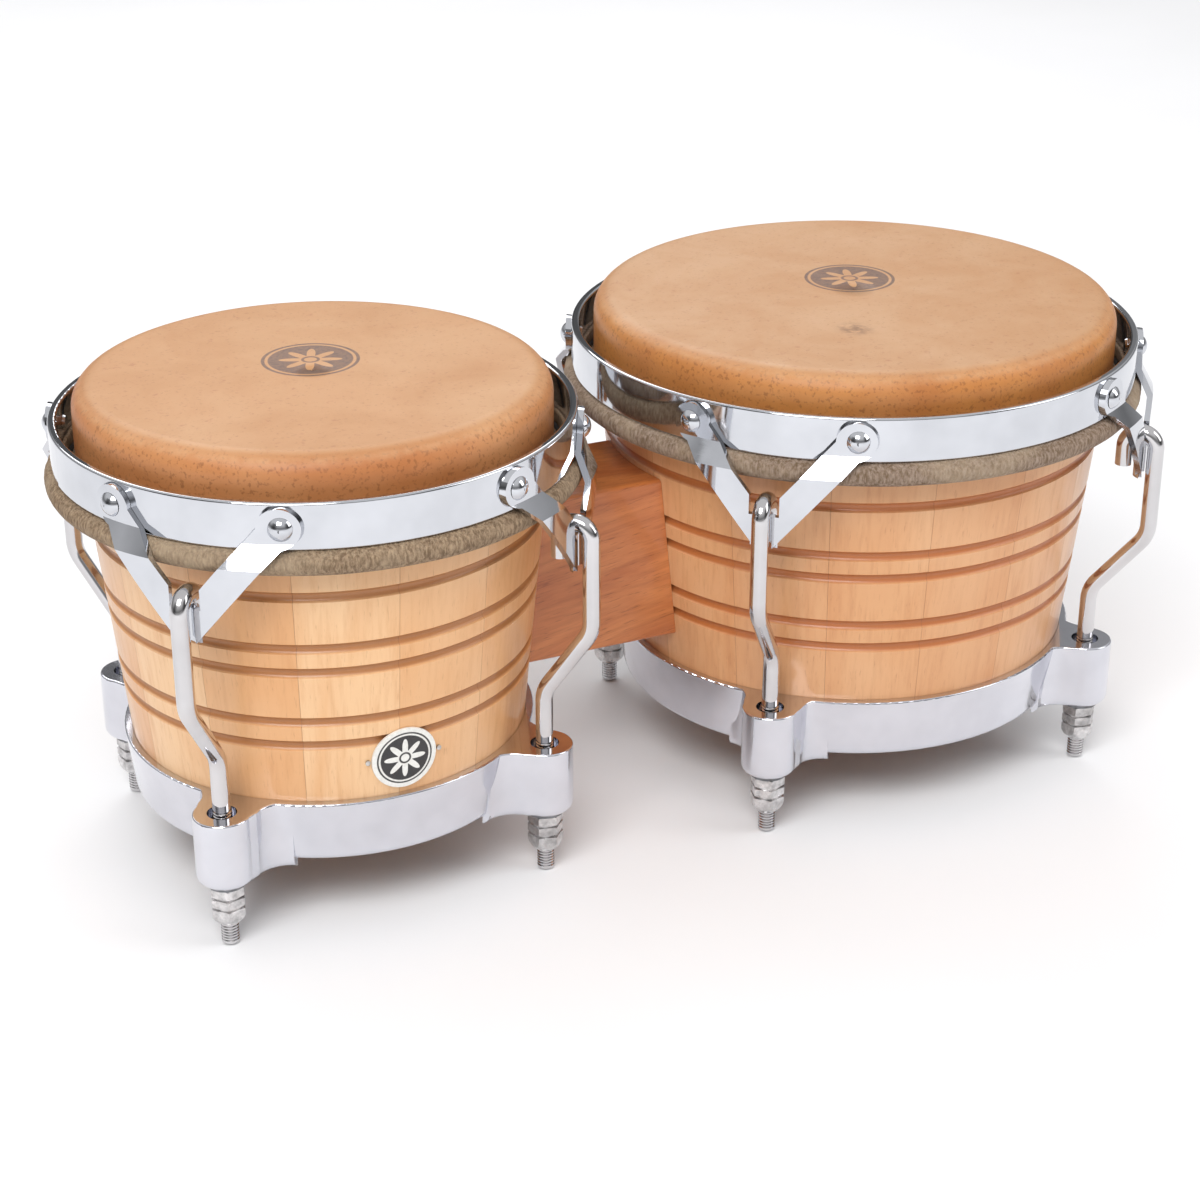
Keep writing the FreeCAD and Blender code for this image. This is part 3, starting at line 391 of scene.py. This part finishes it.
def badge_enamel():
    """Black enamel with a pale border, a fine inner line and a plain flower."""
    made = Shader("badge_enamel")
    low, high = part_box("badge")
    middle = [(low[axis] + high[axis]) / 2 for axis in range(3)]
    radius = (high[2] - low[2]) / 2
    x, y, z = made.parts(made.object_place())
    across = made.math("SUBTRACT", x, middle[0])
    up = made.math("SUBTRACT", z, middle[2])
    distance = distance_to(made, across, up, 0.0, 0.0)
    speck = made.noise(made.object_place(), 700, 3, 0.6)
    haze = made.noise(made.object_place(), 90, 3, 0.6)
    pale = made.mix(made.span(speck, 0.4, 0.7, 0, 0.5), srgb(238, 237, 232), srgb(214, 212, 204))
    black = made.mix(made.span(haze, 0.4, 0.7), srgb(26, 25, 27), srgb(44, 42, 44))
    base = made.mix(disc_mask(made, distance, 0.86 * radius), pale, black)
    marks = made.math("MAXIMUM", ring_mask(made, distance, 0.78 * radius, 0.028 * radius),
                      rosette(made, across, up, radius))
    base = made.mix(marks, base, pale)
    height = made.math("SUBTRACT", 1.0, marks)
    return made.finish(Base_Color=base, Roughness=made.span(haze, 0.3, 0.7, 0.22, 0.34), Coat_Weight=0.5,
                       Coat_Roughness=0.08, Normal=made.bump(height, 0.12 * MM, 0.3))


def floor_paper():
    made = Shader("floor_paper")
    grain = made.noise(made.object_place(), 3.0, 3, 0.5)
    base = made.mix(made.span(grain, 0.3, 0.7), srgb(246, 246, 247), srgb(242, 242, 243))
    return made.finish(Base_Color=base, Roughness=0.85, Specular_IOR_Level=0.1)


def paint(node, material):
    """Give a CAD node a material in place of its plain one."""
    for slot in NODES[node].material_slots:
        slot.material = material


# ---------------------------------------------------------------- meshes

def make_object(name, mesh_data, material, smooth=True):
    mesh = bpy.data.meshes.new(name)
    mesh_data.to_mesh(mesh)
    mesh_data.free()
    piece = bpy.data.objects.new(name, mesh)
    bpy.context.scene.collection.objects.link(piece)
    mesh.materials.append(material)
    for polygon in mesh.polygons:
        polygon.use_smooth = smooth
    return piece


def lathe(profile, centre, segments, wobble=None):
    """A closed ring of faces turned from a closed profile of (radius, height) points. wobble moves
    a point from its (index, angle)."""
    made = bmesh.new()
    rings = []
    for step in range(segments):
        angle = 2 * math.pi * step / segments
        ring = []
        for index, (radius, height) in enumerate(profile):
            if wobble is not None:
                radius, height = wobble(index, angle, radius, height)
            ring.append(made.verts.new((centre[0] + radius * math.cos(angle),
                                        centre[1] + radius * math.sin(angle), height)))
        rings.append(ring)
    count = len(profile)
    for step in range(segments):
        near = rings[step]
        far = rings[(step + 1) % segments]
        for index in range(count):
            after = (index + 1) % count
            made.faces.new((near[index], far[index], far[after], near[after]))
    return made


def arc_points(centre_radius, centre_height, radius, start, end, count):
    """Points on an arc in the profile plane, angles in degrees from the outward direction."""
    points = []
    for step in range(count + 1):
        angle = math.radians(start + (end - start) * step / count)
        points.append((centre_radius + radius * math.cos(angle), centre_height + radius * math.sin(angle)))
    return points


def offset_path(path, thickness):
    """The path moved sideways to its right by a thickness."""
    moved = []
    for index, (radius, height) in enumerate(path):
        before = path[max(index - 1, 0)]
        after = path[min(index + 1, len(path) - 1)]
        along = Vector((after[0] - before[0], after[1] - before[1])).normalized()
        moved.append((radius + along.y * thickness, height - along.x * thickness))
    return moved


# Skin thickness, the head's edge rounding, and the cut edge's distance in from the rim's outside
HIDE = 1.4 * MM
CROWN = 9.3 * MM
TUCK_INSET = 5.0 * MM
SKIN_SEGMENTS = 400


def skin_profile(drum):
    """The playing side of the skin from the head's middle, over the crown, down the side, round
    the flesh hoop and up inside the rim to its cut edge; then back along its under side."""
    top = drum.head_top
    radius = drum.head_radius
    lap_centre = drum.hoop_radius
    lap_height = drum.hoop_height
    inner = drum.lap_radius - lap_centre - HIDE
    path = [(radius * share, top) for share in (0.01, 0.1, 0.2, 0.3, 0.4, 0.5, 0.6, 0.7, 0.78, 0.85, 0.9)]
    path += arc_points(radius - CROWN, top - CROWN, CROWN, 90, 0, 10)
    path += [(radius, top - CROWN - drop * MM) for drop in (2.5, 5, 7.5, 10, 12.5, 15, 17.5)]
    start = path[-1]
    end = (lap_centre - inner, lap_height)
    for step in range(1, 6):
        share = step / 6
        ease = share * share * (3 - 2 * share)
        path.append((start[0] + (end[0] - start[0]) * ease, start[1] + (end[1] - start[1]) * share))
    path += arc_points(lap_centre, lap_height, inner, 180, 450, 30)
    tuck = drum.rim_radius - TUCK_INSET
    path.append((tuck + 0.7 * MM, lap_height + inner + 0.1 * MM))
    path.append((tuck + 0.15 * MM, lap_height + inner + 0.8 * MM))
    low = lap_height + inner + 1.8 * MM
    path += [(tuck, low + (drum.tuck_top - 1.0 * MM - low) * share) for share in (0, 0.34, 0.67, 1)]
    return path, offset_path(path, HIDE)


def build_skin(drum):
    """The whole hide of one drum as one closed skin, slightly uneven on top and rough at the lap."""
    outer, inner = skin_profile(drum)
    profile = outer + inner[::-1]
    lap_top = drum.rim_low + 1.0 * MM
    shift = 0.0 if drum.size == "small" else 7.0
    tuck_low = drum.rim_low + 2.0 * MM

    def uneven(index, angle, radius, height):
        x = radius * math.cos(angle)
        y = radius * math.sin(angle)
        place = Vector((x, y, height + shift))
        if height < lap_top:
            rough = noise.noise(place * 170) * 0.22 + noise.noise(place * 520) * 0.16
            slow = noise.noise(place * 40) * 0.2
            return radius + (rough + slow - 0.15) * MM, height + (rough * 0.6 + slow + 0.1) * MM
        if height > tuck_low and drum.head_radius + 2 * MM < radius:
            share = min((height - tuck_low) / (4 * MM), 1)
            flat = Vector((x, y, shift))
            ragged = noise.noise(flat * 60) * 1.3 + noise.noise(flat * 300) * 0.5
            return radius, height + (ragged - 0.6) * share * MM
        wave = noise.noise(place * 14) * 0.18
        fade = min(max((drum.head_top - height) / (6 * MM), 0), 1)
        return radius + (wave * 0.5 - 0.1) * fade * MM, height + (wave * 0.6 - 0.12) * (1 - fade) * MM

    return make_object(f"{drum.size}_skin", lathe(profile, drum.centre, SKIN_SEGMENTS, uneven), hide(drum))


def close_caps(piece):
    """Fill the two small holes at the head's middle."""
    made = bmesh.new()
    made.from_mesh(piece.data)
    edges = [edge for edge in made.edges if len(edge.link_faces) == 1]
    bmesh.ops.holes_fill(made, edges=edges)
    bmesh.ops.recalc_face_normals(made, faces=made.faces)
    made.to_mesh(piece.data)
    made.free()


# ---------------------------------------------------------------- the pieces

def build_hides():
    for size in SIZES:
        drum = DRUMS[size]
        skin = build_skin(drum)
        close_caps(skin)
        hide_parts(f"{size}_head", f"{size}_hide_collar")
        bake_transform(skin)


def paint_nodes():
    plate = chrome("chrome_plate")
    cast = chrome("chrome_cast", (222, 223, 230), 0.12)
    rod = chrome("chrome_rod", (214, 212, 213), 0.09)
    nuts = dull_steel("nut_nickel", (236, 234, 234), 0.24)
    nails = dull_steel("nail_steel", (214, 212, 208), 0.22)
    zinc = dull_steel("inner_zinc", (150, 152, 156), 0.42)
    brass = dull_steel("brass", (196, 164, 104), 0.3)
    for size in SIZES:
        paint(f"{size}_shell", stave_wood(DRUMS[size]))
        paint(f"{size}_rim", plate)
        paint(f"{size}_rivets", plate)
        paint(f"{size}_bottom_ring", cast)
        for name in ("washers", "backing_plate", "block_bolts", "flesh_hoop"):
            paint(f"{size}_{name}", zinc)
        paint(f"{size}_block_inserts", brass)
        for number in PLATES:
            paint(f"{size}_side_plate_{number}", plate)
            paint(f"{size}_lug_{number}", rod)
            paint(f"{size}_nut_{number}", nuts)
    paint("centre_block", block_wood())
    paint("badge", badge_enamel())
    paint("badge_pins", nails)


# ---------------------------------------------------------------- floor, light and camera

CAMERA_FROM_SMALL_DRUM = (-288.5 * MM, -885.5 * MM, 534.6 * MM)
CAMERA_TURN = 24.92
CAMERA_DOWN = 24.88
CAMERA_LENS = 75.46


def build_camera():
    data = bpy.data.cameras.new("camera")
    data.lens = CAMERA_LENS
    data.sensor_width = 36
    data.clip_end = 50
    camera = bpy.data.objects.new("camera", data)
    across, back, up = CAMERA_FROM_SMALL_DRUM
    camera.location = (DRUMS["small"].centre[0] + across, back, up)
    camera.rotation_euler = (math.radians(90 - CAMERA_DOWN), 0, math.radians(-CAMERA_TURN))
    bpy.context.scene.collection.objects.link(camera)
    bpy.context.scene.camera = camera


def area_light(name, place, target, size, power, colour=(1, 1, 1)):
    data = bpy.data.lights.new(name, "AREA")
    data.shape = "RECTANGLE"
    data.size, data.size_y = size
    data.energy = power
    data.color = colour
    light = bpy.data.objects.new(name, data)
    light.location = place
    light.rotation_euler = (Vector(target) - Vector(place)).to_track_quat("-Z", "Y").to_euler()
    bpy.context.scene.collection.objects.link(light)


FLOOR_HALF_SIZE = 6
WORLD_STRENGTH = 0.76
# Three dark flags stand round the studio so that round chrome shows dark streaks; their turn:
FLAG_PHASE = math.radians(144)


def world_math(tree, operation, *values):
    """A math node in the studio's surroundings."""
    made = tree.nodes.new("ShaderNodeMath")
    made.operation = operation
    for socket, value in zip(made.inputs, values):
        if isinstance(value, bpy.types.NodeSocket):
            tree.links.new(value, socket)
        else:
            socket.default_value = value
    return made.outputs[0]


def build_stage():
    made = bmesh.new()
    bmesh.ops.create_grid(made, x_segments=8, y_segments=8, size=FLOOR_HALF_SIZE)
    floor = make_object("floor", made, floor_paper(), smooth=False)
    world = bpy.data.worlds.new("studio")
    bpy.context.scene.world = world
    world.use_nodes = True
    tree = world.node_tree
    background = tree.nodes["Background"]
    where = tree.nodes.new("ShaderNodeTexCoord")
    split = tree.nodes.new("ShaderNodeSeparateXYZ")
    ramp = tree.nodes.new("ShaderNodeValToRGB")
    tree.links.new(where.outputs["Generated"], split.inputs[0])
    tree.links.new(split.outputs["Z"], ramp.inputs["Fac"])
    azimuth = world_math(tree, "ARCTAN2", split.outputs["Y"], split.outputs["X"])
    wave = world_math(tree, "COSINE", world_math(tree, "MULTIPLY_ADD", azimuth, 3.0, FLAG_PHASE))
    flags = world_math(tree, "MULTIPLY", world_math(tree, "SMOOTH_MIN", wave, 1.0, 0.2), 0.8)
    low = world_math(tree, "LESS_THAN", split.outputs["Z"], 0.6)
    share = world_math(tree, "MULTIPLY", world_math(tree, "MAXIMUM", flags, 0.0), low)
    level = world_math(tree, "SUBTRACT", 1.0, share)
    shaded = tree.nodes.new("ShaderNodeVectorMath")
    shaded.operation = "SCALE"
    tree.links.new(ramp.outputs["Color"], shaded.inputs[0])
    tree.links.new(level, shaded.inputs["Scale"])
    tree.links.new(shaded.outputs[0], background.inputs["Color"])
    stops = ((0.0, 0.75), (0.05, 0.55), (0.16, 0.26), (0.30, 0.50), (0.55, 0.95), (1.0, 1.0))
    while len(ramp.color_ramp.elements) < len(stops):
        ramp.color_ramp.elements.new(0.5)
    for element, (place, level) in zip(ramp.color_ramp.elements, stops):
        element.position = place
        element.color = (level, level, level * 1.01, 1)
    background.inputs["Strength"].default_value = WORLD_STRENGTH
    area_light("key", (-1.1, -1.3, 1.9), (0, 0, 0.1), (1.4, 1.0), 37)
    area_light("fill", (1.6, -1.1, 1.2), (0, 0, 0.1), (1.0, 1.4), 10)
    area_light("back", (0.3, 1.7, 1.5), (0, 0, 0.15), (1.8, 0.8), 14)


bpy.context.scene.view_settings.view_transform = "Standard"
build_hides()
paint_nodes()
build_stage()
build_camera()
